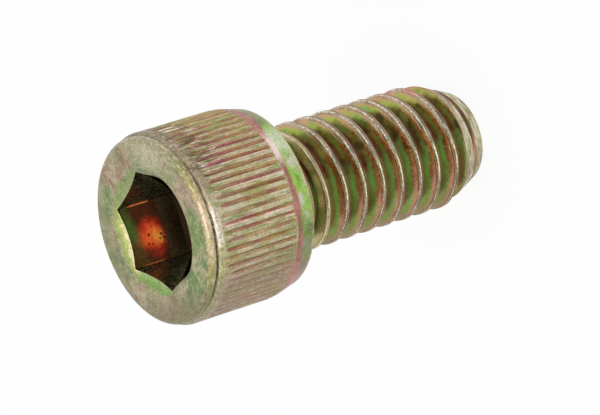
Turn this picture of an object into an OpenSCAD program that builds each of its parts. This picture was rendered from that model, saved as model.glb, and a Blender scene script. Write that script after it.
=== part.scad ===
// Socket head cap screw, 5/16 in - 18 UNC by 5/8 in, standing on its tip with the head up.
// Millimetres, +Z towards the head, origin at the middle of the flat end of the tip.

/* [Thread] */
// Diameter over the crests
thread_d = 7.78; // [6:0.01:11]
// Distance from one crest to the next, 18 threads to the inch
pitch = 1.4111; // [0.9:0.0001:2]
// Width of the flat on a crest
crest_w = 0.26; // [0.1:0.01:0.4]
// Width of the flat in a root
root_w = 0.2; // [0.1:0.01:0.4]
// Angle between the two flanks of a groove
flank_angle = 60; // [50:1:65]
// Height of the crest above the tip, on the +X side
crest_start = 0.66; // [0:0.01:1.4]

/* [Shank] */
// Length from the bearing face to the tip
shank_l = 15.25; // [10:0.05:60]
// Diameter of the plain neck under the head
neck_d = 7.1; // [6.4:0.05:9]
// Length of the plain neck
neck_l = 1.5; // [0.8:0.05:6]
// Part of a turn over which the thread fades into the neck
fade_turns = 0.45; // [0.2:0.05:1]
// Radius of the fillet between neck and head
neck_fillet = 0.4; // [0.1:0.05:0.8]
// Diameter of the flat end of the tip
tip_d = 5.3; // [3:0.05:6]
// Diameter of the tip where its edge round has ended
tip_edge_d = 5.7; // [3.4:0.05:6.4]
// Height of the tip's edge round
tip_edge_h = 0.18; // [0.05:0.01:0.5]
// Height above the tip at which the crests reach full diameter
tip_taper_h = 2.64; // [1:0.01:4]

/* [Head] */
// Diameter over the shoulders on both sides of the knurl
head_d = 11.75; // [10:0.01:16]
// Height from the bearing face to the top face
head_h = 7.8; // [6:0.05:12]
// Radius of the round on the edge of the top face
face_round = 0.42; // [0.1:0.01:0.8]
// How far the edge of the top face stands inside the head diameter
face_inset = 0.155; // [0.05:0.005:0.4]
// Depth of the fine crease below that edge
crease_depth = 0.04; // [0.01:0.005:0.1]
// Height of the crease
crease_h = 0.07; // [0.02:0.01:0.2]
// Diameter of the bearing face
bearing_d = 10.86; // [9:0.01:15]
// Chamfer on the edge of the bearing face
bearing_chamfer = 0.1; // [0.02:0.01:0.4]
// Height of the taper between the bearing face and the knurl
taper_h = 1.25; // [0.4:0.05:3]
// Diameter at the top of that taper
taper_d = 11.6; // [9.5:0.05:15.8]

/* [Knurl] */
// Number of ridges
ridges = 70; // [40:1:120]
// Depth of the grooves below the ridges
groove_depth = 0.16; // [0.05:0.01:0.3]
// Share of the ridge spacing that is flat on top
ridge_top = 0.42; // [0.2:0.01:0.6]
// Share of the ridge spacing at the foot of a ridge
ridge_foot = 0.8; // [0.5:0.01:0.95]
// How far the ridges stay below the shoulders
ridge_drop = 0.01; // [0.005:0.005:0.05]
// Distance from the top face to the front end of the grooves
knurl_front = 0.95; // [0.6:0.05:3]
// Distance from the bearing face to the back end of the grooves
knurl_back = 1.6; // [0.8:0.05:3]
// Length over which a groove runs out at each end
groove_run_out = 0.2; // [0.05:0.01:0.5]

/* [Socket] */
// Width across the flats of the hexagon, 1/4 in with its clearance
socket_af = 6.37; // [4:0.01:9]
// Depth of the flats below the top face
socket_depth = 4.2; // [2:0.05:8]
// Height of the shallow cone at the bottom
socket_cone_h = 0.55; // [0.1:0.05:2]
// Diameter of the countersink at the top face
countersink_d = 7.86; // [5:0.01:11]
// Angle of the countersink, side to side
countersink_angle = 126; // [60:1:160]

/* [Hidden] */
overlap = 0.3;
turn_steps = 36;
shoulder_r = head_d / 2;
face_edge_r = shoulder_r - face_inset;
groove_r = shoulder_r - ridge_drop - groove_depth;
total_h = shank_l + head_h;
crest_r = thread_d / 2;
thread_depth = (pitch - crest_w - root_w) / 2 / tan(flank_angle / 2);
root_r = crest_r - thread_depth;
neck_r = neck_d / 2;
neck_z = shank_l - neck_l;

// One pitch of the thread's outline, as [height from the crest's middle, radius].
thread_outline = [
    [-pitch / 2 + root_w / 2, root_r],
    [-crest_w / 2, crest_r],
    [crest_w / 2, crest_r],
    [pitch / 2 - root_w / 2, root_r],
];
strands = len(thread_outline);

// The helix starts two turns below the tip and ends inside the head.
first_step = -2 * turn_steps;
last_step = ceil((shank_l + overlap - crest_start) / pitch * turn_steps);

// Height of the crest's middle after a number of steps round the helix.
function crest_z(step) = crest_start + pitch * step / turn_steps;

// How far the thread has faded at that step, from 0 on the full thread to 1 on the neck.
function fade(step) =
    let (turns = (crest_z(step) + pitch / 2 - neck_z) / pitch)
    max(0, min(1, turns / fade_turns + 1));

// A point of the thread's surface.
function thread_point(step, strand) =
    let (angle = 360 * step / turn_steps)
    let (outline = thread_outline[strand])
    let (r = outline[1] + (neck_r - outline[1]) * fade(step))
    [r * cos(angle), r * sin(angle), crest_z(step) + outline[0]];

// Right-hand thread as one closed helical rod, longer than the shank at both ends.
module thread_rod() {
    rows = last_step - first_step;
    top_row = rows + 1;
    sides = [for (i = [0 : rows], k = [0 : strands - 1]) thread_point(first_step + i, k)];
    rim = [for (i = [top_row : rows + turn_steps]) thread_point(first_step + i, 0)];
    ends = [[0, 0, crest_z(first_step)], [0, 0, crest_z(last_step) + pitch / 2]];
    bottom = len(sides) + len(rim);
    top = bottom + 1;
    function at(i, k) = k == strands ? at(i + turn_steps, 0)
        : i <= rows ? i * strands + k
        : len(sides) + i - top_row;
    skin = [for (i = [0 : rows - 1], k = [0 : strands - 1], half = [0, 1])
        half == 0 ? [at(i, k), at(i, k + 1), at(i + 1, k + 1)]
                  : [at(i, k), at(i + 1, k + 1), at(i + 1, k)]];
    start = [for (k = [0 : strands - 1]) [at(0, k + 1), at(0, k), bottom]];
    start_ramp = [for (i = [0 : turn_steps - 1]) [at(i, 0), at(i + 1, 0), bottom]];
    stop = [for (k = [0 : strands - 1]) [at(rows, k), at(rows, k + 1), top]];
    stop_ramp = [for (i = [rows : rows + turn_steps - 1]) [at(i + 1, 0), at(i, 0), top]];
    polyhedron(concat(sides, rim, ends), concat(skin, start, start_ramp, stop, stop_ramp));
}

// The tapered tip and the length of the blank that the thread was rolled on.
module blank() {
    slope = (crest_r - tip_edge_d / 2) / (tip_taper_h - tip_edge_h);
    clear_h = tip_taper_h + overlap / slope;
    rotate_extrude() polygon([
        [0, 0],
        [tip_d / 2, 0],
        [tip_edge_d / 2, tip_edge_h],
        [crest_r + overlap, clear_h],
        [crest_r + overlap, shank_l + 2 * pitch],
        [0, shank_l + 2 * pitch],
    ]);
}

// Plain neck with its fillet into the head.
module neck() {
    flare = 0.05;
    rotate_extrude() difference() {
        polygon([
            [0, neck_z],
            [neck_r - overlap, neck_z],
            [neck_r + flare, neck_z + overlap],
            [neck_r + flare, shank_l - neck_fillet],
            [neck_r + flare + neck_fillet, shank_l - neck_fillet],
            [neck_r + flare + neck_fillet, shank_l + overlap],
            [0, shank_l + overlap],
        ]);
        translate([neck_r + flare + neck_fillet, shank_l - neck_fillet]) circle(neck_fillet, $fn = 48);
    }
}

// Turned outline of the head, with the knurl's grooves cut to their full depth all round.
module head_core() {
    knurl_low = shank_l + knurl_back;
    knurl_high = total_h - knurl_front;
    round_z = total_h - face_round;
    rotate_extrude() {
        polygon([
            [0, shank_l],
            [bearing_d / 2, shank_l],
            [bearing_d / 2 + bearing_chamfer, shank_l + bearing_chamfer],
            [taper_d / 2, shank_l + taper_h],
            [shoulder_r, knurl_low - groove_run_out],
            [shoulder_r, knurl_low],
            [groove_r, knurl_low + groove_run_out],
            [groove_r, knurl_high - groove_run_out],
            [shoulder_r, knurl_high],
            [face_edge_r + crease_depth, round_z - crease_h],
            [face_edge_r - crease_depth, round_z - crease_h / 2],
            [face_edge_r, round_z],
            [0, round_z],
        ]);
        square_h = face_round;
        translate([0, round_z]) square([face_edge_r - face_round, square_h]);
        translate([face_edge_r - face_round, round_z]) circle(face_round, $fn = 48);
    }
}

// Straight ridges of the knurl, one outline for the whole ring.
module knurl() {
    step = 360 / ridges;
    top_r = shoulder_r - ridge_drop;
    foot_r = groove_r - 2 * groove_depth;
    outline = [for (i = [0 : ridges - 1], corner = [
            [-ridge_foot, foot_r],
            [-ridge_top, top_r],
            [ridge_top, top_r],
            [ridge_foot, foot_r],
        ])
        let (angle = step * (i + corner[0] / 2))
        corner[1] * [cos(angle), sin(angle)]];
    low = shank_l + knurl_back - groove_run_out / 2;
    high = total_h - knurl_front + groove_run_out / 8;
    translate([0, 0, low]) linear_extrude(high - low) polygon(outline);
}

// Hexagon socket with its countersunk mouth and shallow bottom cone.
module socket() {
    corner_r = socket_af / 2 / cos(30);
    slope = tan(countersink_angle / 2);
    floor_z = total_h - socket_depth;
    translate([0, 0, floor_z]) cylinder(h = socket_depth + overlap, r = corner_r, $fn = 6);
    translate([0, 0, floor_z - socket_cone_h])
        cylinder(h = socket_cone_h, r1 = 0, r2 = socket_af / 2, $fn = 96);
    rotate_extrude() polygon([
        [0, total_h + overlap],
        [countersink_d / 2 + overlap * slope, total_h + overlap],
        [0, total_h - countersink_d / 2 / slope],
    ]);
}

module cap_screw() {
    color([0.56, 0.53, 0.36]) difference() {
        union() {
            intersection() {
                thread_rod();
                blank();
            }
            neck();
            head_core();
            knurl();
        }
        socket();
    }
}

cap_screw();
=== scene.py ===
# Looks of a yellow zinc plated socket head cap screw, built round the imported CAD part.
import math

import bmesh
import bpy
from mathutils import Matrix, Vector, noise


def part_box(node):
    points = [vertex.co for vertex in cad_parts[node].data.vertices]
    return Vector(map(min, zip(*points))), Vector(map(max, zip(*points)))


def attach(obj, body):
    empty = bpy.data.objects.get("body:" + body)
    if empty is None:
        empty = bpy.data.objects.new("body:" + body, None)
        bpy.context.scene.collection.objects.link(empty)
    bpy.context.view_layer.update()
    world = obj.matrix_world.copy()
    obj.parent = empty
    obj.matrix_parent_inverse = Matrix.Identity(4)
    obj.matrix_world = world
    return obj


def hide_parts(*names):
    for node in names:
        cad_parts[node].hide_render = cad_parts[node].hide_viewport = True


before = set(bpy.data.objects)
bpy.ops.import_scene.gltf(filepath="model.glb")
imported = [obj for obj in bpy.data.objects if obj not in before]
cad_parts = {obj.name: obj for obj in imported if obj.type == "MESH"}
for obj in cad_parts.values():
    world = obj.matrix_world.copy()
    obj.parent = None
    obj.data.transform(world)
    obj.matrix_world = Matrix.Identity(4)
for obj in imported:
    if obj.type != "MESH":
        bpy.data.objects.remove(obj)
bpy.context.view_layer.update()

MM = 0.001
NODE = "cap_screw"

# Sizes in millimetres. The head's diameter and the height come from the CAD box.
low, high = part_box(NODE)
HEIGHT = high.z / MM
SHOULDER_R = min(high.x, high.y, -low.x, -low.y) / MM
HEAD_H = 7.8
SHANK_L = HEIGHT - HEAD_H

# Thread
PITCH = 25.4 / 18
CREST_R = 3.89
CREST_START = 0.66
FLANK_SLOPE = 1 / math.tan(math.radians(30))
FLANK_END = 0.565
SEAM_DEPTH = 0.045
THREAD_LOW = 0.35
THREAD_HIGH = SHANK_L - 1.0
FADE_START = 12.9
FADE_END = 13.65
FADE_SHARE = 0.97
NECK_R = 3.5
NECK_FLARE = 0.05
NECK_FILLET = 0.4

# Tip
TIP_R = 2.65
TIP_EDGE_R = 2.85
TIP_EDGE_H = 0.18
TIP_TAPER_H = 2.64

# Head
FACE_ROUND = 0.42
FACE_EDGE_R = SHOULDER_R - 0.155
SHOULDER_Z = HEIGHT - 0.83
SHOULDER_BOW = 1.6
CREASE_LIP = 0.04
CREASE_DEPTH = 0.06
CREASE_H = 0.19
BEARING_R = 5.43
BEARING_CHAMFER = 0.1
TAPER_H = 1.25
TAPER_R = 5.8

# Knurl
RIDGES = 70
GROOVE_DEPTH = 0.12
KNURL_R = SHOULDER_R - 0.01
KNURL_LOW = SHANK_L + 1.47
KNURL_HIGH = HEIGHT - 0.87
PLAIN_END = 0.1
RUN_OUT = 0.45
BAND_R = 5.818
BAND_END = 0.15

# Socket
SOCKET_AF = 6.37
SOCKET_DEPTH = 4.2
SOCKET_CONE_H = 0.55
COUNTERSINK_R = 3.93
COUNTERSINK_SLOPE = 1 / math.tan(math.radians(126 / 2))
MOUTH_EDGE = 0.05

# Columns round the axis, and the angle in degrees from which an edge is sharp
SHANK_STEPS = 160
HEAD_STEPS = 240
RIDGE_STEPS = (0.0, 0.09, 0.16, 0.23, 0.31, 0.4, 0.5, 0.6, 0.69, 0.77, 0.84, 0.91)
SHARP_ANGLE = 40


def smooth(low_value, high_value, value):
    """0 up to low_value, 1 from high_value on, and an even curve between."""
    t = min(1.0, max(0.0, (value - low_value) / (high_value - low_value)))
    return t * t * (3 - 2 * t)


def wobble(x, y, z, size, seed=0.0):
    """Noise from about -1 to 1 whose lumps are about size millimetres across."""
    return noise.noise(Vector((x / size + seed, y / size - seed, z / size + 2 * seed)))


def add_object(name, data):
    """A new object in the scene."""
    obj = bpy.data.objects.new(name, data)
    bpy.context.scene.collection.objects.link(obj)
    return obj


def around(radius, angle):
    """X and Y of a place at a radius and an angle."""
    return radius * math.cos(angle), radius * math.sin(angle)


class Skin:
    """One closed surface made of rings round the axis, with named marks on its points."""

    MARKS = ("crest", "cross", "seam", "flank", "thread", "late", "knurl", "groove", "lip", "tone", "pink",
             "crease", "edge", "taper", "rim", "mouth", "socket", "tip")

    def __init__(self):
        self.points = []
        self.faces = []
        self.marks = {name: [] for name in self.MARKS}

    def point(self, radius, angle, z, **marks):
        x, y = around(radius, angle)
        self.points.append((x * MM, y * MM, z * MM))
        for name, values in self.marks.items():
            values.append(marks.get(name, 0.0))
        return len(self.points) - 1

    def ring(self, angles, shape, **marks):
        """A closed ring of (angle, point). shape gives a radius and a height for an angle."""
        ring = []
        for angle in angles:
            radius, z = shape(angle)
            ring.append((angle, self.point(radius, angle, z, **marks)))
        return ring

    def face(self, *corners):
        kept = [c for i, c in enumerate(corners) if c != corners[i - 1]]
        if len(set(kept)) >= 3:
            self.faces.append(kept)

    def join(self, lower, upper):
        """Skins the strip between two rings, which may have different numbers of points."""
        n, m = len(lower), len(upper)
        if n == m:
            for i in range(n):
                k = (i + 1) % n
                self.face(lower[i][1], lower[k][1], upper[k][1], upper[i][1])
            return
        i = j = 0
        while i < n or j < m:
            next_i = lower[(i + 1) % n][0] + (math.tau if i + 1 >= n else 0)
            next_j = upper[(j + 1) % m][0] + (math.tau if j + 1 >= m else 0)
            if j >= m or (i < n and next_i <= next_j):
                self.face(lower[i % n][1], lower[(i + 1) % n][1], upper[j % m][1])
                i += 1
            else:
                self.face(lower[i % n][1], upper[(j + 1) % m][1], upper[j % m][1])
                j += 1

    def grow(self, ring, angles, shape, **marks):
        """Adds a ring that is joined to the last one, and returns it."""
        upper = self.ring(angles, shape, **marks)
        self.join(ring, upper)
        return upper

    def close(self, ring, z, **marks):
        middle = self.point(0.0, 0.0, z, **marks)
        for i in range(len(ring)):
            self.face(ring[i][1], ring[(i + 1) % len(ring)][1], middle)


def even_angles(count):
    return [math.tau * i / count for i in range(count)]


def knurl_angles():
    """Angles of the knurl's columns. The grooves are not quite evenly spaced."""
    stray = [0.09 * noise.noise(Vector((i * 1.61, 3.3, 7.1))) for i in range(RIDGES)]
    starts = [i + stray[i] for i in range(RIDGES)] + [RIDGES + stray[0]]
    shift = min(0.0, starts[0])
    angles = []
    for start, end in zip(starts, starts[1:]):
        for u in RIDGE_STEPS:
            angles.append(math.tau / RIDGES * (start + u * (end - start) - shift))
    return angles


SHANK_ANGLES = even_angles(SHANK_STEPS)
HEAD_ANGLES = even_angles(HEAD_STEPS)
KNURL_ANGLES = knurl_angles()


def thread_outline():
    """One pitch of the rolled thread, as (height from the crest, drop below the crest, marks)."""
    crest = [
        (0.0, SEAM_DEPTH, dict(crest=1, seam=1)),
        (0.025, SEAM_DEPTH * 0.35, dict(crest=1, seam=0.5)),
        (0.055, 0.0, dict(crest=1)),
        (0.09, 0.004, dict(crest=1)),
        (0.125, 0.026, dict(crest=0.9)),
        (0.155, 0.062, dict(crest=0.4, flank=0.05)),
    ]
    flank_top, flank_drop = crest[-1][0], crest[-1][1]
    flank = []
    for t in (0.13, 0.28, 0.44, 0.6, 0.78, 1.0):
        z = flank_top + (FLANK_END - flank_top) * t
        flank.append((z, flank_drop + (z - flank_top) * FLANK_SLOPE, dict(flank=0.05 + 0.75 * t)))
    deep = flank[-1][1]
    root = [(0.615, deep + 0.05, dict(flank=0.9)), (0.655, deep + 0.075, dict(flank=0.97))]
    bottom = [(PITCH / 2, deep + 0.085, dict(flank=1))]
    half = crest + flank + root
    below = [(-z, drop, marks) for z, drop, marks in reversed(half[1:])]
    return below + half + bottom


def blank_radius(z):
    """The tapered blank that the thread was rolled on, which limits the crests near the tip."""
    if z < TIP_EDGE_H:
        return TIP_R + (TIP_EDGE_R - TIP_R) * math.sqrt(max(0.0, z / TIP_EDGE_H))
    slope = (CREST_R - TIP_EDGE_R) / (TIP_TAPER_H - TIP_EDGE_H)
    return TIP_EDGE_R + (z - TIP_EDGE_H) * slope


def thread(skin):
    """The helical thread. Returns the plain rings at its lower and upper ends."""
    outline = thread_outline()
    count = len(outline)
    low_ring = skin.ring(SHANK_ANGLES, lambda a: (blank_radius(THREAD_LOW), THREAD_LOW), tip=1)
    high_ring = skin.ring(SHANK_ANGLES, lambda a: (NECK_R, THREAD_HIGH), flank=0.8, thread=1)
    margin = 0.012

    def vertex(column, strand):
        turn, k = divmod(strand, count)
        crest_z = CREST_START + PITCH * (turn + column / SHANK_STEPS)
        offset, drop, marks = outline[k]
        z = crest_z + offset
        if z <= THREAD_LOW + margin:
            return low_ring[column][1]
        if z >= THREAD_HIGH - margin:
            return high_ring[column][1]
        angle = SHANK_ANGLES[column]
        fade = smooth(FADE_START, FADE_END, crest_z) * FADE_SHARE
        x, y = around(CREST_R, angle)
        ripple = 0.006 * wobble(x, y, z, 0.5) + 0.004 * wobble(x, y, z, 0.18, 3.1)
        on_crest = marks.get("crest", 0.0)
        on_seam = marks.get("seam", 0.0)
        seam = on_seam * (0.55 + 0.8 * wobble(x, y, z, 1.1, 7.7))
        full = CREST_R - drop - 0.4 * SEAM_DEPTH * seam + ripple * (0.6 + on_crest)
        radius = full + (NECK_R - full) * fade
        limit = blank_radius(z) + 0.5 * ripple
        cut = smooth(-0.03, 0.05, radius - limit)
        radius = min(radius, limit - 0.03 * on_seam)
        values = {name: value * (1 - fade) for name, value in marks.items()}
        values["crest"] = max(values.get("crest", 0.0), cut)
        values["flank"] = values.get("flank", 0.0) + 0.8 * fade
        values["cross"] = offset
        values["late"] = smooth(FADE_START - 1.2, FADE_START + 0.1, crest_z)
        return skin.point(min(radius, CREST_R), angle, z, thread=1, tip=smooth(1.6, 0.5, z), **values)

    grid = {}

    def at(column, strand):
        if column == SHANK_STEPS:
            column, strand = 0, strand + count
        key = (column, strand)
        if key not in grid:
            grid[key] = vertex(column, strand)
        return grid[key]

    for strand in range(-2 * count, int((THREAD_HIGH / PITCH + 2) * count)):
        for column in range(SHANK_STEPS):
            after = column + 1
            skin.face(at(column, strand), at(after, strand), at(after, strand + 1), at(column, strand + 1))
    return low_ring, high_ring


def tip(skin, ring):
    """The round edge and the flat end of the tip, down from a ring of the thread."""
    edge = [TIP_EDGE_H * step for step in (1.0, 0.6, 0.3, 0.1, 0.0)]
    rings = [(blank_radius(z), z) for z in edge] + [(radius, 0.0) for radius in (2.3, 1.5, 0.7)]
    for radius, z in rings:
        lower = skin.ring(SHANK_ANGLES, lambda a: (radius, z), tip=1)
        skin.join(lower, ring)
        ring = lower
    skin.close(ring, 0.0, tip=1)


def creased(angle):
    """How deep the crease is round the head: whole on the -Y side, a trace elsewhere."""
    turn = math.degrees(angle)
    return 0.1 + 0.9 * smooth(195, 225, turn) * smooth(305, 275, turn)


def turned_point(radius, angle, z, marks, ripple):
    """Radius and height of a point on a turned ring, with its ripple, wear and crease."""
    x, y = around(radius, angle)
    rough = ripple * (wobble(x, y, z, 1.2, 1.7) + 0.5 * wobble(x, y, z, 0.45, 5.2))
    rough += marks.get("worn", 0.0) * (wobble(x, y, z, 0.5, 9.1) + 0.6 * wobble(x, y, z, 0.22, 4.8))
    rough -= CREASE_LIP * marks.get("step", 0.0) * (1 - creased(angle))
    crease = marks.get("crease", 0.0)
    if crease:
        ragged = 0.9 + 0.9 * wobble(x, y, z, 1.6, 6.1) + 0.8 * wobble(x, y, z, 0.4, 2.9)
        rough -= CREASE_DEPTH * crease * creased(angle) * min(1.7, max(0.05, ragged))
        z += crease * (0.05 * wobble(x, y, 0, 0.8, 4.4) + 0.045 * wobble(x, y, 0, 0.25, 8.4))
    return min(SHOULDER_R, radius + rough), z


def turned(skin, ring, angles, outline, ripple=0.004):
    """Adds rings of an outline of (radius, height, marks). Marks worn and step only shape a ring."""
    for radius, z, marks in outline:
        ring = skin.grow(ring, angles, lambda a: turned_point(radius, a, z, marks, ripple), **marks)
    return ring


def neck_outline():
    """Plain neck and its fillet into the bearing face."""
    neck_r = NECK_R + NECK_FLARE
    centre_r, centre_z = neck_r + NECK_FILLET, SHANK_L - NECK_FILLET
    rings = [(neck_r, centre_z - 0.15, dict(flank=0.9, thread=1))]
    for degrees in range(18, 91, 18):
        t = math.radians(degrees)
        radius = centre_r - NECK_FILLET * math.cos(t)
        rings.append((radius, centre_z + NECK_FILLET * math.sin(t), dict(flank=1, thread=1)))
    return rings


def back_outline():
    """Bearing face, its edge, and the taper up to the knurl."""
    edge_r = BEARING_R + BEARING_CHAMFER
    edge_z = SHANK_L + BEARING_CHAMFER
    top_z = SHANK_L + TAPER_H
    rings = [(radius, SHANK_L, {}) for radius in (4.3, 4.9, BEARING_R - 0.06)]
    for degrees in (30, 60, 90):
        t = math.radians(degrees)
        radius = edge_r - BEARING_CHAMFER * (1 - math.sin(t))
        rings.append((radius, edge_z - BEARING_CHAMFER * math.cos(t), dict(taper=1, rim=1)))
    for t in (0.05, 0.15, 0.3, 0.5, 0.7, 0.85, 0.95):
        marks = dict(taper=1, rim=smooth(0.12, 0.0, t), pink=smooth(0.55, 1.05, t))
        rings.append((edge_r + (TAPER_R - edge_r) * t, edge_z + (top_z - edge_z) * t, marks))
    rings.append((TAPER_R + 0.012, top_z + 0.03, dict(taper=1, pink=0.97)))
    rings.append((BAND_R - 0.003, top_z + 0.1, dict(taper=1, pink=1)))
    return rings


def knurl_point(ridge, step, angle, z):
    """Radius and marks of a point of the knurl. Each ridge has its own width, depth and end."""
    u = abs(step - 0.5) * 2
    own = noise.noise(Vector((ridge * 1.37, 0.5, z * 0.12)))
    back = smooth(KNURL_LOW, KNURL_LOW + BAND_END * (1 + 0.4 * own), z)
    stop = KNURL_HIGH - 0.05 - 0.5 * abs(noise.noise(Vector((ridge * 1.9, 9.5, 0))))
    run = back * smooth(stop, stop - RUN_OUT, z)
    groove = smooth(0.3 + 0.14 * own, 0.98, u) * run
    depth = GROOVE_DEPTH * (0.85 + 0.35 * noise.noise(Vector((ridge * 0.77, 2.5, z * 0.3))))
    x, y = around(KNURL_R, angle)
    rough = 0.008 * wobble(x, y, z * 0.4, 0.35, 2.2) + 0.005 * wobble(x, y, z * 0.6, 0.14, 3.3)
    radius = KNURL_R - depth * groove - 0.012 * smooth(0.0, 0.5, u) * run
    radius = BAND_R + (radius - BAND_R) * back + rough * run
    nearest_groove = (ridge + (step >= 0.5)) % RIDGES
    marks = dict(knurl=1, groove=groove)
    marks["pink"] = smooth(KNURL_LOW + BAND_END * 2.5, KNURL_LOW - BAND_END, z)
    marks["tone"] = noise.noise(Vector((nearest_groove * 2.71, 4.5, z * 0.08)))
    marks["lip"] = smooth(0.6, 0.75, step) * smooth(0.9, 0.78, step) * run
    return min(radius, SHOULDER_R), marks


def knurl_rows(skin, ring):
    """The straight knurl between its two shoulders."""
    heights = [KNURL_LOW + BAND_END * t for t in (0, 0.35, 0.7, 1)]
    groove_end = KNURL_HIGH - PLAIN_END
    middle_low, middle_high = heights[-1], groove_end - RUN_OUT
    heights += [middle_low + (middle_high - middle_low) * t / 11 for t in range(1, 12)]
    heights += [groove_end - RUN_OUT * t for t in (0.75, 0.5, 0.25, 0)]
    heights.append(KNURL_HIGH)
    for z in heights:
        upper = []
        for k, angle in enumerate(KNURL_ANGLES):
            ridge, column = divmod(k, len(RIDGE_STEPS))
            radius, marks = knurl_point(ridge, RIDGE_STEPS[column], angle, z)
            upper.append((angle, skin.point(radius, angle, z, **marks)))
        skin.join(ring, upper)
        ring = upper
    return ring


def front_outline():
    """Front shoulder, crease and rounded edge up to the flat face."""
    round_z = HEIGHT - FACE_ROUND
    lip_r = FACE_EDGE_R + CREASE_LIP
    lip_z = round_z - CREASE_H
    rings = []
    for t in (0, 0.25, 0.5, 0.75, 0.92, 1.0):
        step = t ** SHOULDER_BOW
        radius = SHOULDER_R - 0.004 - (SHOULDER_R - lip_r) * step
        marks = dict(knurl=0.4 * (1 - t), rim=t, step=step, worn=0.02 * t)
        rings.append((radius, SHOULDER_Z + (lip_z - 0.02 - SHOULDER_Z) * t, marks))
    rings.append((lip_r - 0.012, lip_z + 0.008, dict(rim=0.8, crease=0.3, step=0.8)))
    rings.append((FACE_EDGE_R - 0.005, round_z - CREASE_H * 0.7, dict(crease=1)))
    rings.append((FACE_EDGE_R - 0.005, round_z - CREASE_H * 0.5, dict(crease=1)))
    rings.append((FACE_EDGE_R - 0.004, round_z - CREASE_H * 0.25, dict(rim=0.4, crease=0.3)))
    for degrees in range(0, 91, 10):
        t = math.radians(degrees)
        radius = FACE_EDGE_R - FACE_ROUND * (1 - math.cos(t))
        marks = dict(edge=math.cos(t) ** 0.5, worn=0.011 * math.cos(t))
        rings.append((radius, round_z + FACE_ROUND * math.sin(t), marks))
    return rings


def face_outline():
    """The flat face from its rounded edge to the countersink."""
    return [(radius, HEIGHT, {}) for radius in (5.15, 4.95, 4.7, 4.45, 4.25, 4.1, COUNTERSINK_R + 0.04)]


def hexagon_r(angle):
    """Radius of the hexagon's wall, with a corner on +X."""
    return SOCKET_AF / 2 / math.cos(math.fmod(angle, math.pi / 3) - math.pi / 6)


def countersink_z(radius):
    return HEIGHT - (COUNTERSINK_R - radius) * COUNTERSINK_SLOPE


def socket(skin, ring):
    """Countersunk mouth, flats and the shallow cone at the bottom."""
    floor_z = HEIGHT - SOCKET_DEPTH

    def add(shape, **marks):
        nonlocal ring
        ring = skin.grow(ring, HEAD_ANGLES, shape, **marks)

    def cone(angle, t):
        radius = COUNTERSINK_R + (hexagon_r(angle) - COUNTERSINK_R) * t
        return radius, countersink_z(radius) - 0.01

    def edge(angle, drop):
        radius = hexagon_r(angle)
        return radius, countersink_z(radius) - drop

    def wall(angle, t):
        radius, top = edge(angle, MOUTH_EDGE)
        z = top + (floor_z - top) * t
        x, y = around(radius, angle)
        return radius + 0.004 * wobble(x, y, z * 0.3, 0.4, 8.8), z

    add(lambda a: (COUNTERSINK_R + 0.01, HEIGHT - 0.006), mouth=0.25, rim=0.5)
    for t in (0.06, 0.3, 0.55, 0.8, 0.94):
        add(lambda a: cone(a, t), mouth=0.4 + 0.6 * t, rim=0.5 * abs(2 * t - 1))
    add(lambda a: edge(a, 0.3 * MOUTH_EDGE), mouth=1, socket=0.5, rim=0.8)
    add(lambda a: edge(a, MOUTH_EDGE), socket=1)
    for t in (0.08, 0.2, 0.35, 0.5, 0.65, 0.8, 0.9, 0.97, 1.0):
        add(lambda a: wall(a, t), socket=1)
    for radius, drop in ((3.1, 0.02), (2.6, 0.09), (1.8, 0.24), (1.0, 0.38), (0.4, 0.49)):
        add(lambda a: (radius, floor_z - drop), socket=1)
    skin.close(ring, floor_z - SOCKET_CONE_H, socket=1)


def build_screw():
    skin = Skin()
    low_ring, high_ring = thread(skin)
    tip(skin, low_ring)
    ring = turned(skin, high_ring, SHANK_ANGLES, neck_outline(), 0.002)
    ring = turned(skin, ring, HEAD_ANGLES, back_outline())
    ring = knurl_rows(skin, ring)
    ring = turned(skin, ring, HEAD_ANGLES, front_outline())
    ring = turned(skin, ring, HEAD_ANGLES, face_outline(), 0.0)
    socket(skin, ring)
    mesh = bpy.data.meshes.new("cap_screw_skin")
    mesh.from_pydata(skin.points, [], skin.faces)
    for name, values in skin.marks.items():
        mesh.attributes.new(name, "FLOAT", "POINT").data.foreach_set("value", values)
    edit = bmesh.new()
    edit.from_mesh(mesh)
    bmesh.ops.recalc_face_normals(edit, faces=edit.faces)
    edit.to_mesh(mesh)
    edit.free()
    mesh.polygons.foreach_set("use_smooth", [True] * len(mesh.polygons))
    mesh.set_sharp_from_angle(angle=math.radians(SHARP_ANGLE))
    return add_object("cap_screw_plated", mesh)


screw = build_screw()
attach(screw, "root")
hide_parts(NODE)


def srgb(red, green, blue):
    """A linear colour from the usual 0 to 255 values."""
    def linear(v):
        v /= 255
        return v / 12.92 if v <= 0.04045 else ((v + 0.055) / 1.055) ** 2.4
    return linear(red), linear(green), linear(blue), 1.0


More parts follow.
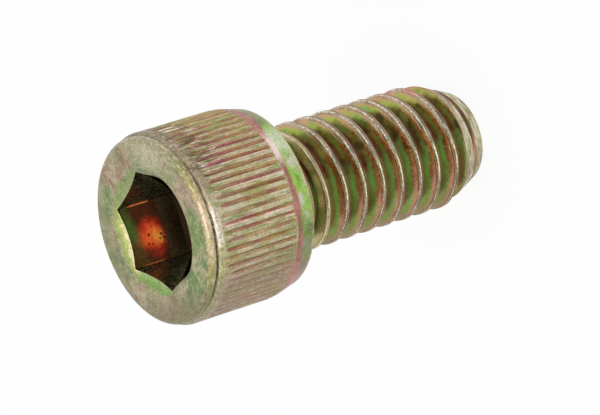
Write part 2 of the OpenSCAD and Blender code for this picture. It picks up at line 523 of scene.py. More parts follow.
class Paint:
    """Short calls that add shader nodes to one material. Sizes of noise are in millimetres."""

    def __init__(self, name):
        self.material = bpy.data.materials.new(name)
        self.material.use_nodes = True
        self.nodes = self.material.node_tree.nodes
        self.links = self.material.node_tree.links
        self.shader = self.nodes["Principled BSDF"]
        self.place = self.nodes.new("ShaderNodeTexCoord").outputs["Object"]

    def put(self, socket, value):
        if isinstance(value, bpy.types.NodeSocket):
            self.links.new(value, socket)
        else:
            socket.default_value = value

    def feed(self, node, *values):
        """Puts values into the first sockets of a node."""
        for socket, value in zip(node.inputs, values):
            self.put(socket, value)

    def mark(self, name):
        node = self.nodes.new("ShaderNodeAttribute")
        node.attribute_name = name
        return node.outputs["Fac"]

    def axes(self):
        """The place along each axis, in millimetres."""
        node = self.nodes.new("ShaderNodeSeparateXYZ")
        self.feed(node, self.place)
        return [self.times(output, 1 / MM) for output in node.outputs]

    def noise_at(self, vector, detail=2.0, rough=0.5, twist=0.0):
        node = self.nodes.new("ShaderNodeTexNoise")
        for name, value in (("Scale", 1.0), ("Detail", detail), ("Roughness", rough), ("Distortion", twist)):
            node.inputs[name].default_value = value
        self.links.new(vector, node.inputs["Vector"])
        return node.outputs["Fac"]

    def noise(self, size, detail=2.0, rough=0.5, stretch=(1, 1, 1), seed=0.0, twist=0.0):
        shift = self.nodes.new("ShaderNodeMapping")
        shift.inputs["Scale"].default_value = [1 / (MM * size * s) for s in stretch]
        shift.inputs["Location"].default_value = (seed * 3.7, seed * 1.3, -seed * 2.9)
        self.links.new(self.place, shift.inputs["Vector"])
        return self.noise_at(shift.outputs[0], detail, rough, twist)

    def lay_noise(self, x, y, cross, length):
        """Streaks that run round the axis: slow in X and Y, quick across."""
        lay = self.nodes.new("ShaderNodeCombineXYZ")
        self.feed(lay, self.times(x, 1 / length), self.times(y, 1 / length), cross)
        return self.noise_at(lay.outputs[0])

    def math(self, operation, first, second=0.0, third=0.0, clamp=False):
        node = self.nodes.new("ShaderNodeMath")
        node.operation = operation
        node.use_clamp = clamp
        self.feed(node, first, second, third)
        return node.outputs[0]

    def times(self, first, second):
        return self.math("MULTIPLY", first, second)

    def plus(self, first, second):
        return self.math("ADD", first, second)

    def minus(self, first, second):
        return self.math("SUBTRACT", first, second)

    def line(self, value, slope, start):
        return self.math("MULTIPLY_ADD", value, slope, start)

    def length(self, first, second):
        """The length of a line from its two sides."""
        return self.math("SQRT", self.plus(self.times(first, first), self.times(second, second)))

    def span(self, value, start, end, low_out=0.0, high_out=1.0):
        """A smooth step of a value between start and end."""
        node = self.nodes.new("ShaderNodeMapRange")
        node.interpolation_type = "SMOOTHSTEP"
        for name, v in zip(("From Min", "From Max", "To Min", "To Max"), (start, end, low_out, high_out)):
            node.inputs[name].default_value = v
        self.put(node.inputs["Value"], value)
        return node.outputs["Result"]

    def band(self, value, start, full, fade, end):
        """1 between full and fade, falling smoothly to 0 at start and at end."""
        return self.both(self.span(value, start, full), self.span(value, end, fade))

    def stray(self, value, reach):
        """A noise as an amount from -reach to reach."""
        return self.span(value, 0.25, 0.75, -reach, reach)

    def both(self, *masks):
        """The share that all the masks have."""
        share = masks[0]
        for mask in masks[1:]:
            share = self.math("MULTIPLY", share, mask, clamp=True)
        return share

    def ramp(self, value, stops):
        """A colour that changes along a value. stops holds (place, red, green, blue)."""
        node = self.nodes.new("ShaderNodeValToRGB")
        points = node.color_ramp.elements
        while len(points) < len(stops):
            points.new(0.5)
        for point, (place, *colour) in zip(points, stops):
            point.position = place
            point.color = srgb(*colour)
        self.put(node.inputs["Fac"], value)
        return node.outputs["Color"]

    def blend(self, share, first, second, mode="MIX"):
        node = self.nodes.new("ShaderNodeMix")
        node.data_type = "RGBA"
        node.blend_type = mode
        self.put(node.inputs[0], share)
        self.put(node.inputs[6], first)
        self.put(node.inputs[7], second)
        return node.outputs[2]

    def coat(self, under, mask, share, colour):
        """Lays a colour over another where a mask is, at most by share."""
        return self.blend(self.times(mask, share), under, colour)

    def wash(self, under, value, start, end, share, colour):
        """Lays a colour over another as a value goes from start to end, at most by share."""
        return self.blend(self.span(value, start, end, 0.0, share), under, colour)

    def bump(self, height, distance):
        node = self.nodes.new("ShaderNodeBump")
        node.inputs["Distance"].default_value = distance * MM
        self.put(node.inputs["Height"], height)
        return node.outputs[0]


# Widths over which the film changes from -X to +X, in millimetres. On the shank the change is partly painted
# reflection.
HEAD_SPREAD = 11.7
SHANK_SPREAD = 7.8
TIP_SPREAD = 6.0

# Round patches on the flat face, as centre, size and colour.
FACE_SPOTS = [
    ((4.1, 2.2), 1.5, srgb(182, 136, 120)), ((-3.7, 3.5), 1.6, srgb(172, 146, 122)),
    ((2.6, 3.7), 1.1, srgb(120, 150, 86)), ((-0.9, -4.5), 1.3, srgb(132, 158, 92)),
    ((-3.3, -3.1), 1.4, srgb(120, 152, 88)), ((4.9, -2.4), 2.2, srgb(210, 202, 176)),
]

# Small pits in the red film, as place along X, depth below the face and size.
PITS = [
    (-0.15, 1.75, 0.13), (-0.26, 2.6, 0.09), (-0.52, 2.45, 0.07), (-0.54, 2.75, 0.09),
    (-0.65, 1.6, 0.09), (-0.72, 1.85, 0.09), (0.3, 2.1, 0.06),
]


def spot(paint, x, y, centre, size, edge):
    """A soft round patch in X and Y with a ragged edge."""
    far = paint.length(paint.minus(x, centre[0]), paint.minus(y, centre[1]))
    far = paint.plus(far, paint.stray(edge, 0.4 * size))
    return paint.span(far, size, 0.35 * size)


def flat_film(paint, x, y, broad, patch, grain, brush):
    """Mottled green, tan and pink film on the face."""
    film = paint.ramp(paint.span(broad, 0.3, 0.7), [
        (0.0, 134, 152, 98), (0.35, 154, 158, 116), (0.65, 172, 164, 128), (1.0, 182, 150, 128)])
    for centre, size, tint in FACE_SPOTS:
        film = paint.coat(film, spot(paint, x, y, centre, size, patch), 0.8, tint)
    film = paint.wash(film, patch, 0.46, 0.66, 0.75, srgb(194, 186, 156))
    film = paint.wash(film, patch, 0.48, 0.3, 0.7, srgb(104, 128, 74))
    film = paint.wash(film, grain, 0.53, 0.68, 0.55, srgb(204, 196, 172))
    film = paint.wash(film, grain, 0.47, 0.32, 0.55, srgb(110, 112, 80))
    return paint.wash(film, brush, 0.55, 0.75, 0.5, srgb(214, 208, 186))


def edge_film(paint, x, y, patch, ragged):
    """Brighter, ragged film on the rounded edge of the face."""
    film = paint.ramp(paint.line(x, 1 / HEAD_SPREAD, 0.5), [
        (0.0, 150, 142, 114), (0.2, 166, 164, 100), (0.4, 218, 188, 162), (0.54, 218, 186, 160),
        (0.66, 180, 174, 108), (0.82, 160, 162, 116), (1.0, 182, 170, 148)])
    film = paint.wash(film, ragged, 0.5, 0.68, 0.7, srgb(230, 218, 190))
    film = paint.wash(film, ragged, 0.48, 0.32, 0.7, srgb(160, 128, 88))
    film = paint.wash(film, patch, 0.54, 0.66, 0.6, srgb(152, 162, 94))
    return paint.blend(paint.span(y, -0.5, 2.0), film, srgb(170, 164, 140))


def mouth_film(paint, x, y, face, inward):
    """Green film on the countersink, yellow at +Y, and the face's own film on the -Y half."""
    film = paint.ramp(inward, [(0.4, 146, 160, 106), (0.7, 130, 178, 84), (1.0, 164, 186, 124)])
    film = paint.wash(film, x, 0.4, 1.6, 0.6, srgb(150, 152, 112))
    far_film = paint.ramp(inward, [
        (0.4, 152, 158, 108), (0.72, 158, 178, 94), (0.88, 196, 202, 116), (1.0, 242, 228, 178)])
    film = paint.blend(paint.span(y, 2.6, 3.3), film, far_film)
    return paint.blend(paint.span(y, 0.2, -0.4), film, face)


def head_film(paint, x, y, broad, patch, grain, brush, ragged):
    """Face, its rounded edge and the countersink."""
    film = flat_film(paint, x, y, broad, patch, grain, brush)
    frayed = paint.plus(paint.mark("edge"), paint.span(ragged, 0.3, 0.7, -0.2, 0.2))
    on_edge = paint.span(frayed, 0.2, 0.75, 0.0, 0.85)
    film = paint.blend(on_edge, film, edge_film(paint, x, y, patch, ragged))
    film = paint.wash(film, x, -3.2, -5.0, 0.6, srgb(130, 122, 96))
    film = paint.wash(film, y, 3.0, 5.0, 0.35, srgb(136, 136, 102))
    inward = paint.plus(paint.mark("mouth"), paint.stray(patch, 0.22))
    in_mouth = paint.span(inward, 0.25, 0.6, 0.0, 0.9)
    return paint.blend(in_mouth, film, mouth_film(paint, x, y, film, inward))


def ridge_tint(paint, side, broad, patch, along, streak):
    """Pale ridges of the knurl, streaked along their length."""
    tint = paint.ramp(side, [
        (0.0, 172, 146, 136), (0.25, 198, 186, 152), (0.5, 206, 198, 166), (0.75, 196, 182, 150),
        (1.0, 188, 168, 112)])
    tint = paint.wash(tint, along, 0.44, 0.62, 0.8, srgb(150, 162, 98))
    tint = paint.wash(tint, patch, 0.5, 0.72, 0.5, srgb(186, 142, 126))
    tint = paint.wash(tint, broad, 0.5, 0.32, 0.5, srgb(176, 164, 98))
    tint = paint.wash(tint, streak, 0.55, 0.7, 0.6, srgb(232, 226, 204))
    return paint.wash(tint, streak, 0.44, 0.3, 0.6, srgb(112, 104, 70))


def groove_tint(paint, depth, run, tone):
    """Grooves of the knurl, which turn from orange-brown at the back to magenta in front."""
    hue = paint.plus(paint.line(depth, -0.12, 0.916), paint.stray(run, 0.45))
    return paint.ramp(paint.line(tone, 0.6, hue), [
        (0.0, 174, 142, 86), (0.3, 170, 122, 82), (0.55, 166, 108, 90), (0.8, 176, 102, 108),
        (1.0, 190, 116, 124)])


def knurl_tint(paint, x, y, depth, broad, patch, along, streak):
    """Ridges and grooves of the knurl, with painted shade in the grooves, painted highlights on some lips,
    and worn lines.
    """
    side = paint.line(x, 1 / HEAD_SPREAD, 0.5)
    ridge = ridge_tint(paint, side, broad, patch, along, streak)
    run = paint.noise(0.5, stretch=(1, 1, 3), seed=9.0)
    tone = paint.mark("tone")
    wide = paint.plus(paint.mark("groove"), paint.stray(streak, 0.14))
    front = paint.minus(depth, paint.stray(run, 0.4))
    faint = paint.both(
        paint.span(along, 0.3, 0.7, 1.0, 0.6), paint.span(side, 0.05, 0.35, 0.5, 1.0),
        paint.span(tone, -0.45, 0.0, 0.65, 1.0), paint.span(front, 0.95, 1.55, 0.15, 1.0))
    in_groove = paint.both(paint.span(wide, 0.05, 0.5), faint)
    tint = paint.blend(in_groove, ridge, groove_tint(paint, depth, run, tone))
    # Painted shade in the middle of the grooves
    shade = paint.both(paint.span(wide, 0.55, 0.95), paint.span(run, 0.4, 0.65))
    tint = paint.coat(tint, shade, 0.35, srgb(112, 68, 54))
    # Painted highlight on the lips of some grooves
    lip_highlight = paint.both(
        paint.mark("lip"), paint.span(tone, 0.05, 0.25), paint.span(run, 0.36, 0.5),
        paint.span(x, -3.4, -0.8))
    tint = paint.blend(lip_highlight, tint, srgb(252, 222, 208))
    tint = paint.wash(tint, x, -2.2, -4.6, 0.5, srgb(152, 134, 116))
    # Broken dark and white lines on the front half at +X
    worn = paint.both(paint.span(x, 1.6, 3.2), paint.span(depth, 4.05, 2.05), paint.span(y, 2.5, 0.5))
    tint = paint.coat(tint, paint.both(worn, paint.span(streak, 0.52, 0.42)), 0.65, srgb(98, 74, 66))
    return paint.coat(tint, paint.both(worn, paint.span(streak, 0.6, 0.68)), 0.9, srgb(240, 228, 220))


def taper_tint(paint, x, y, blotch, grain):
    """Green, yellow and grey splotches that turn mauve on the +X and -X sides, with a painted highlight near
    +X.
    """
    tint = paint.ramp(paint.span(blotch, 0.3, 0.7), [
        (0.0, 130, 142, 92), (0.3, 142, 186, 84), (0.55, 162, 202, 94), (0.75, 172, 188, 118),
        (1.0, 206, 208, 180)])
    # Painted highlight near +X on the -Y side
    pale_highlight = paint.both(paint.band(x, 1.9, 2.6, 3.2, 4.2), paint.span(y, 1.0, -1.0))
    tint = paint.coat(tint, pale_highlight, 0.65, srgb(230, 230, 208))
    tint = paint.wash(tint, x, -0.8, -3.0, 0.7, srgb(110, 114, 78))
    tint = paint.wash(tint, grain, 0.55, 0.72, 0.35, srgb(220, 218, 190))
    tint = paint.wash(tint, x, 3.4, 5.0, 0.75, srgb(150, 128, 112))
    return paint.wash(tint, x, -3.6, -5.0, 0.75, srgb(164, 132, 120))


def pink_tint(paint, x, patch):
    """The band between taper and knurl, with one stretch of painted highlight."""
    tint = paint.ramp(paint.span(patch, 0.3, 0.7), [(0.0, 156, 104, 96), (1.0, 190, 136, 124)])
    return paint.blend(paint.band(x, 1.2, 2.4, 2.9, 4.0), tint, srgb(255, 226, 224))


def flank_bands(paint, side):
    """Colours round the shank for four bands, from the top of a flank to the bottom of the root. Round the
    shank they are partly film colour and partly painted reflection, and the bottom band's dark middle is
    painted shade in the root.
    """
    upper = paint.ramp(side, [
        (0.0, 150, 130, 98), (0.12, 182, 138, 104), (0.22, 196, 134, 110), (0.32, 166, 112, 70),
        (0.5, 138, 88, 44), (0.68, 194, 130, 70), (0.8, 214, 160, 106), (0.92, 206, 166, 112),
        (1.0, 212, 160, 132)])
    middle = paint.ramp(side, [
        (0.0, 138, 130, 88), (0.12, 126, 146, 70), (0.3, 148, 188, 120), (0.5, 145, 172, 118),
        (0.62, 142, 148, 98), (0.71, 162, 162, 104), (0.82, 140, 130, 74), (0.9, 166, 188, 78),
        (0.95, 186, 180, 100), (1.0, 208, 168, 126)])
    root = paint.ramp(side, [
        (0.0, 140, 112, 94), (0.15, 158, 108, 94), (0.3, 164, 142, 104), (0.45, 156, 138, 98),
        (0.58, 136, 116, 88), (0.7, 146, 124, 96), (0.82, 118, 80, 72), (0.92, 150, 140, 90),
        (1.0, 180, 150, 110)])
    bottom = paint.ramp(side, [
        (0.1, 128, 112, 86), (0.25, 98, 78, 44), (0.36, 98, 92, 48), (0.5, 90, 84, 44),
        (0.62, 80, 64, 40), (0.75, 84, 58, 38), (0.9, 120, 110, 60)])
    return upper, middle, root, bottom


def flank_tint(paint, x, swirl, blotch, grain):
    """Bands down a flank, each changing round the shank partly as the film's thickness does and partly as
    painted reflection.
    """
    side = paint.plus(paint.line(x, 1 / SHANK_SPREAD, 0.5), paint.stray(swirl, 0.09))
    upper, middle, root, bottom = flank_bands(paint, side)

    # Patches of rust red and blue-green film on the +X half, and dark patches there painted as a dark
    # reflection
    upward = paint.band(side, 0.42, 0.58, 0.84, 0.94)
    rust = paint.times(paint.both(upward, paint.span(blotch, 0.48, 0.6)), 0.85)
    root = paint.blend(rust, root, srgb(146, 74, 58))
    bottom = paint.blend(rust, bottom, srgb(92, 42, 32))
    dark_reflection = paint.both(upward, paint.span(blotch, 0.46, 0.34))
    middle = paint.coat(middle, dark_reflection, 0.9, srgb(96, 80, 60))
    teal = paint.both(paint.span(x, 1.2, 2.4), paint.span(blotch, 0.5, 0.64))
    middle = paint.coat(middle, teal, 0.5, srgb(112, 172, 104))

    down = paint.mark("flank")
    slide = paint.plus(paint.stray(swirl, 0.1), paint.stray(grain, 0.05))
    flank = paint.plus(down, slide)
    narrow = paint.plus(paint.span(side, 0.5, 0.8, 0.0, 0.1), paint.span(side, 0.26, 0.06, 0.0, 0.12))
    tint = paint.blend(paint.span(paint.plus(flank, narrow), 0.24, 0.46), upper, middle)
    tint = paint.blend(paint.span(flank, 0.5, 0.76), tint, root)
    # Painted shade at the bottom of the root
    tint = paint.blend(paint.span(down, 0.84, 0.94, 0.0, 0.9), tint, bottom)

    # Shade beside the crest, thin pale film, and the paler run-out
    under = paint.both(paint.band(paint.mark("cross"), -0.3, -0.22, -0.15, -0.1), paint.span(x, 0.0, 0.8))
    tint = paint.coat(tint, under, 0.85, srgb(108, 88, 66))
    thin = paint.both(paint.span(flank, 0.2, 0.1), paint.span(grain, 0.48, 0.6))
    tint = paint.coat(tint, thin, 0.35, srgb(206, 176, 120))
    late = paint.both(paint.mark("late"), paint.span(flank, 0.55, 0.25))
    tint = paint.coat(tint, late, 0.8, srgb(204, 190, 136))
    return paint.wash(tint, flank, 0.12, 0.02, 0.7, srgb(112, 94, 66))


def crest_tint(paint, x, cross, lines, grain, fine):
    """Bare grey metal with bright and dark lines along the crest, a painted highlight line on its head side,
    painted shade on its tip side, and a broken seam.
    """
    tint = paint.ramp(paint.span(lines, 0.34, 0.66), [
        (0.0, 98, 86, 70), (0.35, 140, 128, 108), (0.65, 164, 152, 130), (1.0, 218, 210, 188)])
    tint = paint.wash(tint, x, -1.4, -3.2, 0.7, srgb(146, 120, 92))
    tint = paint.wash(tint, x, 1.0, 2.8, 0.6, srgb(176, 150, 126))
    middle = paint.band(x, -2.4, -1.4, -0.2, 0.8)
    tint = paint.coat(tint, middle, 0.55, srgb(204, 204, 172))
    tint = paint.coat(tint, paint.mark("late"), 0.6, srgb(208, 196, 140))
    broken = paint.span(paint.plus(grain, fine), 0.9, 1.08, 0.1, 0.95)
    # Painted highlight: a broken bright line on the head side of the crest
    highlight_line = paint.both(paint.band(cross, 0.02, 0.06, 0.09, 0.13), broken)
    tint = paint.blend(highlight_line, tint, srgb(244, 234, 212))
    tint = paint.wash(tint, fine, 0.58, 0.7, 0.35, srgb(228, 220, 200))
    tint = paint.wash(tint, fine, 0.42, 0.3, 0.35, srgb(104, 90, 72))
    # Painted shade on the tip side of the crest
    tint = paint.wash(tint, cross, -0.08, -0.13, 0.5, srgb(110, 96, 80))
    dull = paint.band(x, -0.3, 0.3, 1.0, 1.7)
    tint = paint.coat(tint, dull, 0.35, srgb(112, 102, 86))
    seam = paint.both(paint.span(paint.mark("seam"), 0.35, 0.9), paint.span(grain, 0.44, 0.6))
    return paint.coat(tint, seam, 0.75, srgb(64, 52, 38))


def thread_tint(paint, x, z, swirl, blotch, grain, fine, lines):
    """Flanks and crests of the thread. Returns their colour and the share of bare crest."""
    shift = paint.plus(paint.span(x, -3.2, -0.8, 0.0, -0.15), paint.span(x, -1.2, 1.8, 0.0, 0.21))
    cross = paint.minus(paint.mark("cross"), shift)
    off_crest = paint.plus(paint.math("ABSOLUTE", cross), paint.stray(grain, 0.045))
    cut_crest = paint.both(paint.span(paint.mark("crest"), 0.3, 0.7), paint.span(z, 3.0, 2.3))
    on_crest = paint.math("MAXIMUM", cut_crest, paint.span(off_crest, 0.21, 0.14))
    crest = crest_tint(paint, x, cross, lines, grain, fine)
    tint = paint.blend(on_crest, flank_tint(paint, x, swirl, blotch, grain), crest)
    blush = paint.both(paint.span(x, 2.7, 3.5), paint.span(z, 6.0, 3.0), paint.span(blotch, 0.4, 0.52))
    tint = paint.coat(tint, blush, 0.7, srgb(214, 138, 124))
    brown = paint.both(paint.span(x, -0.2, -1.4), paint.span(z, 3.4, 2.2))
    return paint.coat(tint, brown, 0.4, srgb(160, 116, 86)), on_crest


def tip_tint(paint, x, patch, grain, ringed):
    """Flecked grey, yellow-green and pink end of the thread."""
    tint = paint.ramp(paint.span(patch, 0.32, 0.68), [
        (0.0, 150, 130, 112), (0.35, 178, 166, 134), (0.65, 190, 194, 138), (1.0, 212, 200, 176)])
    tint = paint.wash(tint, x, -0.6, -2.4, 0.6, srgb(150, 134, 108))
    tint = paint.wash(tint, ringed, 0.54, 0.64, 0.8, srgb(236, 230, 208))
    tint = paint.wash(tint, ringed, 0.44, 0.34, 0.6, srgb(108, 96, 72))
    return paint.wash(tint, grain, 0.58, 0.68, 0.7, srgb(206, 148, 134))


def with_tip(paint, colour, x, z, in_thread, patch, grain, ringed):
    """Lays the last groove and the flecked tip over the colour so far."""
    crest = paint.mark("crest")
    tip_mark = paint.mark("tip")
    last = paint.both(paint.span(tip_mark, 0.35, 0.6), paint.span(crest, 0.4, 0.05), in_thread)
    last_tint = paint.ramp(paint.line(x, 1 / TIP_SPREAD, 0.5), [
        (0.2, 150, 132, 98), (0.3, 200, 138, 126), (0.4, 150, 96, 84), (0.5, 84, 70, 50),
        (0.7, 92, 80, 56), (0.8, 128, 116, 74)])
    colour = paint.coat(colour, last, 0.9, last_tint)
    low_crest = paint.both(paint.span(z, 2.3, 1.5), in_thread, paint.span(crest, 0.4, 0.8))
    flecked = paint.math("MAXIMUM", low_crest, paint.span(tip_mark, 0.6, 0.95))
    flecked = paint.both(flecked, paint.minus(1.0, last))
    return paint.blend(flecked, colour, tip_tint(paint, x, patch, grain, ringed))


def with_wear_and_painted_light(paint, colour, x, y, depth, patch, grain, along, streak, ragged):
    """Lays pale worn edges, the shoulder's stains and white patches painted as highlights, and painted shade
    in the crease over the colour.
    """
    wear = paint.both(paint.mark("rim"), paint.span(grain, 0.38, 0.6))
    colour = paint.coat(colour, wear, 0.7, srgb(206, 196, 168))

    # Dusky patch at +X with dark and bright lines
    dusky = paint.both(
        paint.span(x, 0.3, 2.2), paint.band(depth, 0.3, 0.65, 0.95, 1.55), paint.span(y, 3.0, 1.0))
    colour = paint.coat(colour, dusky, 0.6, srgb(130, 116, 98))
    colour = paint.coat(colour, paint.both(dusky, paint.span(along, 0.5, 0.34)), 0.7, srgb(82, 72, 60))
    colour = paint.coat(colour, paint.both(dusky, paint.span(streak, 0.54, 0.66)), 0.7, srgb(204, 190, 166))

    # Lime patches, white patches painted as highlights, and stains on the -Y side of the shoulder
    near_side = paint.span(y, 0.0, -1.5)
    shoulder = paint.both(paint.band(depth, 0.55, 0.65, 0.9, 1.1), near_side)
    lime = paint.both(paint.band(x, -4.0, -2.6, -1.2, -0.2), shoulder, paint.span(grain, 0.42, 0.56))
    colour = paint.coat(colour, lime, 0.8, srgb(204, 206, 132))
    white = paint.both(
        paint.band(x, -2.3, -1.6, -0.2, 0.7), shoulder, paint.span(paint.plus(grain, patch), 0.9, 1.06))
    colour = paint.coat(colour, white, 0.9, srgb(236, 226, 216))
    stained = paint.both(shoulder, paint.span(paint.plus(grain, ragged), 1.04, 0.9))
    colour = paint.coat(colour, stained, 0.6, srgb(184, 164, 130))

    # Painted shade in the crease, darkest on the -Y side
    darkest = paint.both(paint.band(x, -4.8, -3.6, 1.6, 3.0), near_side)
    crease = paint.both(
        paint.span(paint.mark("crease"), 0.05, 0.4), paint.span(grain, 0.38, 0.56, 0.2, 1.0),
        paint.line(darkest, 0.55, 0.25))
    return paint.blend(crease, colour, srgb(78, 68, 60))


def socket_tint(paint, x, y, depth, patch, grain):
    """Grey metal that lies in shade, with red and orange film on the flat at +Y painted as a pool of light,
    painted highlights at its corners, and painted shade deeper down and on the floor.
    """
    ragged = paint.stray(patch, 0.22)

    def near(place_x, place_depth, size_x, size_depth):
        dx = paint.times(paint.minus(x, place_x), 1 / size_x)
        dz = paint.times(paint.minus(depth, place_depth), 1 / size_depth)
        return paint.plus(paint.length(dx, dz), ragged)

    # Red and orange film on the flat, painted as a pool of light: brightest with a yellow core round one
    # spot, dark towards its edges
    flat = paint.ramp(near(-0.28, 1.95, 1.3, 1.4), [
        (0.0, 240, 126, 70), (0.38, 232, 104, 60), (0.58, 196, 70, 48), (0.78, 136, 50, 38),
        (1.0, 82, 48, 36)])
    yellow = paint.both(paint.span(near(-0.3, 2.4, 0.6, 0.5), 1.0, 0.3), paint.span(grain, 0.38, 0.56))
    flat = paint.coat(flat, yellow, 0.8, srgb(255, 196, 84))
    slant = paint.line(x, 0.25, depth)
    green = paint.both(
        paint.span(x, -1.4, 0.4), paint.span(depth, 0.2, 0.5),
        paint.span(slant, 1.5, 0.65), paint.span(patch, 0.3, 0.5, 0.55, 1.0))
    flat = paint.blend(green, flat, srgb(80, 122, 66))
    olive = paint.both(paint.span(x, -0.2, -1.0), paint.span(depth, 1.5, 0.9))
    flat = paint.coat(flat, olive, 0.8, srgb(92, 80, 46))
    # Painted shade deeper down the flat
    flat = paint.blend(paint.span(depth, 2.7, 3.1), flat, srgb(92, 82, 66))
    for place_x, place_depth, size in PITS:
        pit = paint.span(near(place_x, place_depth, size, size), 1.3, 0.4)
        flat = paint.blend(pit, flat, srgb(86, 44, 28))
    # Painted highlight: a bright line at both corners of the flat
    corner_highlight = paint.both(
        paint.span(paint.math("ABSOLUTE", x), 1.76, 1.8), paint.band(depth, 0.6, 1.3, 2.2, 2.5),
        paint.span(x, -0.5, 0.5, 0.4, 1.0))
    flat = paint.blend(corner_highlight, flat, srgb(250, 164, 104))
    tint = paint.blend(paint.span(y, 3.05, 3.15), srgb(188, 190, 168), flat)
    # Painted shade on the socket floor at +Y
    floor_shade = paint.both(paint.span(depth, 4.05, 4.2), paint.span(y, 0.6, 2.8))
    tint = paint.blend(floor_shade, tint, srgb(88, 84, 68))
    return paint.blend(paint.span(y, 0.4, -1.0), tint, srgb(250, 240, 222))


def zinc_material():
    """Worn yellow zinc: a thin film that runs from green through tan to pink over grey metal, with painted
    highlights, reflections and shade in places.
    """
    paint = Paint("yellow_zinc")
    x, y, z = paint.axes()
    depth = paint.minus(HEIGHT, z)
    radius = paint.length(x, y)

    # Noises that several parts share
    broad = paint.noise(2.6, seed=1.0, twist=0.4)
    patch = paint.noise(1.1, 3.0, 0.55, seed=2.0, twist=0.6)
    grain = paint.noise(0.3, 3.0, 0.6, seed=3.0, twist=0.8)
    fine = paint.noise(0.11, 2.0, 0.6, seed=4.0)
    along = paint.noise(0.4, 2.0, 0.55, stretch=(1, 1, 4), seed=5.0)
    swirl = paint.noise(1.6, seed=6.0)
    streak = paint.noise(0.15, 2.0, 0.55, stretch=(1, 1, 6), seed=7.0)
    blotch = paint.noise(1.1, 1.5, 0.5, seed=8.0, twist=0.3)
    brush = paint.lay_noise(x, y, paint.times(radius, 8.0), 0.9)
    lines = paint.lay_noise(x, y, paint.line(paint.mark("cross"), 16.0, z), 1.3)
    ringed = paint.lay_noise(x, y, paint.times(z, 7.0), 0.9)
    ragged = paint.lay_noise(x, y, paint.times(paint.minus(radius, z), 6.0), 0.32)

    # Head, with the pale green taper and the pink band behind the knurl
    colour = head_film(paint, x, y, broad, patch, grain, brush, ragged)
    knurl = knurl_tint(paint, x, y, depth, broad, patch, along, streak)
    colour = paint.blend(paint.mark("knurl"), colour, knurl)
    on_taper = paint.span(paint.mark("taper"), 0.4, 0.9)
    colour = paint.blend(on_taper, colour, taper_tint(paint, x, y, blotch, grain))
    pink = paint.plus(paint.mark("pink"), paint.stray(patch, 0.25))
    spread = paint.plus(paint.span(x, -3.0, -4.6, 0.0, 0.4), paint.span(x, 3.4, 4.8, 0.0, 0.4))
    pink = paint.plus(pink, paint.both(spread, on_taper))
    colour = paint.blend(paint.span(pink, 0.45, 0.88), colour, pink_tint(paint, x, patch))

    # Thread, tip, and wear with painted highlights and shade
    in_thread = paint.span(paint.mark("thread"), 0.5, 0.9)
    thread_colour, on_crest = thread_tint(paint, x, z, swirl, blotch, grain, fine, lines)
    colour = paint.blend(in_thread, colour, thread_colour)
    colour = with_tip(paint, colour, x, z, in_thread, patch, grain, ringed)
    colour = with_wear_and_painted_light(paint, colour, x, y, depth, patch, grain, along, streak, ragged)

    # Painted dark reflection on the -Y side of the countersink, and the socket
    mouth = paint.mark("mouth")
    reach = paint.line(mouth, -5.0, paint.plus(y, 5.0))
    mouth_dark_reflection = paint.both(paint.span(mouth, 0.2, 0.4), paint.span(reach, -0.1, -0.7))
    colour = paint.blend(mouth_dark_reflection, colour, srgb(98, 92, 72))
    in_socket = paint.span(paint.mark("socket"), 0.5, 0.95)
    colour = paint.blend(in_socket, colour, socket_tint(paint, x, y, depth, patch, grain))

    # Fine light and dark grain, weaker on the thread, none in the socket and on the painted dark reflection
    on_flank = paint.both(in_thread, paint.span(paint.mark("crest"), 0.5, 0.2))
    weaker = paint.span(paint.both(in_thread, on_crest), 0.0, 1.0, 1.0, 0.55)
    grainy = paint.both(
        paint.minus(1.0, paint.times(on_flank, 0.7)), weaker,
        paint.minus(1.0, mouth_dark_reflection), paint.minus(1.0, in_socket))
    shade = paint.span(fine, 0.25, 0.75, 0.74, 1.22)
    colour = paint.blend(grainy, colour, paint.blend(1.0, colour, shade, "MULTIPLY"))

    inputs = paint.shader.inputs
    inputs["Metallic"].default_value = 1.0
    paint.put(inputs["Base Color"], colour)
    paint.put(inputs["Specular Tint"], paint.blend(mouth_dark_reflection, srgb(255, 255, 255), srgb(150, 146, 130)))
    smooth_share = paint.math("MAXIMUM", on_flank, in_socket)
    gloss = paint.minus(paint.span(grain, 0.3, 0.7, 0.34, 0.48), paint.times(smooth_share, 0.17))
    paint.put(inputs["Roughness"], paint.times(gloss, paint.line(mouth_dark_reflection, -0.85, 1.0)))
    height = paint.both(grainy, paint.plus(grain, paint.times(fine, 0.4)))
    height = paint.line(paint.times(paint.mark("edge"), ragged), 0.7, height)
    paint.put(inputs["Normal"], paint.bump(height, 0.03))
    return paint.material


screw.data.materials.append(zinc_material())

# Camera, placed by the photograph's view: azimuth from +X, height above the horizon, and roll.
CAMERA_AZIMUTH = -89.04
CAMERA_HEIGHT = 34.23
CAMERA_ROLL = -107.71
CAMERA_DISTANCE = 269.32 * MM
CAMERA_TARGET = Vector((-1.263, -0.021, 12.522)) * MM
FOCAL_PIXELS = 4500
IMAGE_WIDTH = 600

# Studio: lengths in metres, power in watts, the rest as shares
KEY_DIRECTION = Vector((-0.1, -0.53, 0.8))
KEY_DISTANCE = 0.3
KEY_SIZE = 0.3
KEY_POWER = 0.25
FLOOR_HALF_WIDTH = 3.0
FLOOR_GREY = 0.9
FLOOR_WHITE_SHARE = 0.9
WORLD_STRENGTH = 0.9


def view_axes():
    """The camera's right, up and backward directions."""
    az, el, roll = (math.radians(v) for v in (CAMERA_AZIMUTH, CAMERA_HEIGHT, CAMERA_ROLL))
    back = Vector((math.cos(el) * math.cos(az), math.cos(el) * math.sin(az), math.sin(el)))
    level_right = Vector((0, 0, 1)).cross(back).normalized()
    level_up = back.cross(level_right)
    right = level_right * math.cos(roll) + level_up * math.sin(roll)
    return right, back.cross(right), back


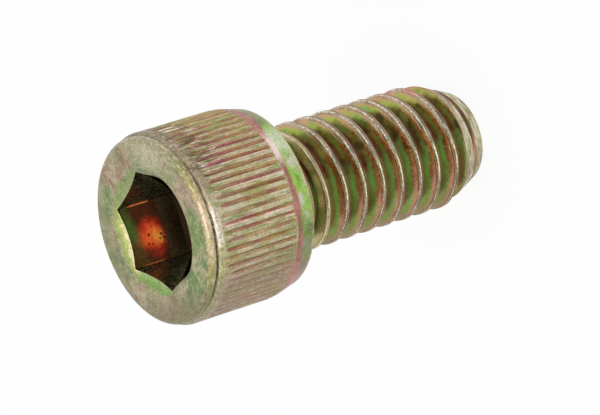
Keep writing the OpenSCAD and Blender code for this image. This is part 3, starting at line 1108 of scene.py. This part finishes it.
def add_camera():
    right, up, back = view_axes()
    data = bpy.data.cameras.new("camera")
    data.sensor_width = 36
    data.lens = FOCAL_PIXELS * data.sensor_width / IMAGE_WIDTH
    data.clip_start = 0.01
    camera = add_object("camera", data)
    turn = Matrix((right, up, back)).transposed().to_4x4()
    camera.matrix_world = Matrix.Translation(CAMERA_TARGET + back * CAMERA_DISTANCE) @ turn
    bpy.context.scene.camera = camera


def add_key_lamp():
    """One round soft lamp, aimed at the middle of the view."""
    data = bpy.data.lights.new("key", "AREA")
    data.shape = "DISK"
    data.size = KEY_SIZE
    data.energy = KEY_POWER
    lamp = add_object("key", data)
    place = CAMERA_TARGET + KEY_DIRECTION.normalized() * KEY_DISTANCE
    lamp.location = place
    lamp.rotation_euler = (place - CAMERA_TARGET).to_track_quat("Z", "Y").to_euler()


def floor_material():
    """Pale grey that the camera and reflections see as nearly white, with the screw's shadow."""
    paint = Paint("floor_white")
    matte = paint.shader
    matte.inputs["Base Color"].default_value = (FLOOR_GREY, FLOOR_GREY, FLOOR_GREY, 1)
    matte.inputs["Roughness"].default_value = 0.9
    matte.inputs["Specular IOR Level"].default_value = 0.0
    white = paint.nodes.new("ShaderNodeEmission")
    path = paint.nodes.new("ShaderNodeLightPath").outputs
    seen = paint.math("MAXIMUM", path["Is Camera Ray"], path["Is Glossy Ray"])
    seen = paint.math("MAXIMUM", seen, path["Is Transmission Ray"])
    mix = paint.nodes.new("ShaderNodeMixShader")
    paint.feed(mix, paint.times(seen, FLOOR_WHITE_SHARE), matte.outputs[0], white.outputs[0])
    paint.put(paint.nodes["Material Output"].inputs["Surface"], mix.outputs[0])
    return paint.material


def add_floor():
    half = FLOOR_HALF_WIDTH
    mesh = bpy.data.meshes.new("floor")
    corners = [(-half, -half, 0), (half, -half, 0), (half, half, 0), (-half, half, 0)]
    mesh.from_pydata(corners, [], [(0, 1, 2, 3)])
    mesh.materials.append(floor_material())
    floor = add_object("floor", mesh)


def set_world():
    world = bpy.data.worlds.new("studio")
    world.use_nodes = True
    background = world.node_tree.nodes["Background"]
    background.inputs["Color"].default_value = (1, 1, 1, 1)
    background.inputs["Strength"].default_value = WORLD_STRENGTH
    bpy.context.scene.world = world


add_camera()
add_floor()
add_key_lamp()
set_world()
bpy.context.scene.view_settings.view_transform = "Standard"
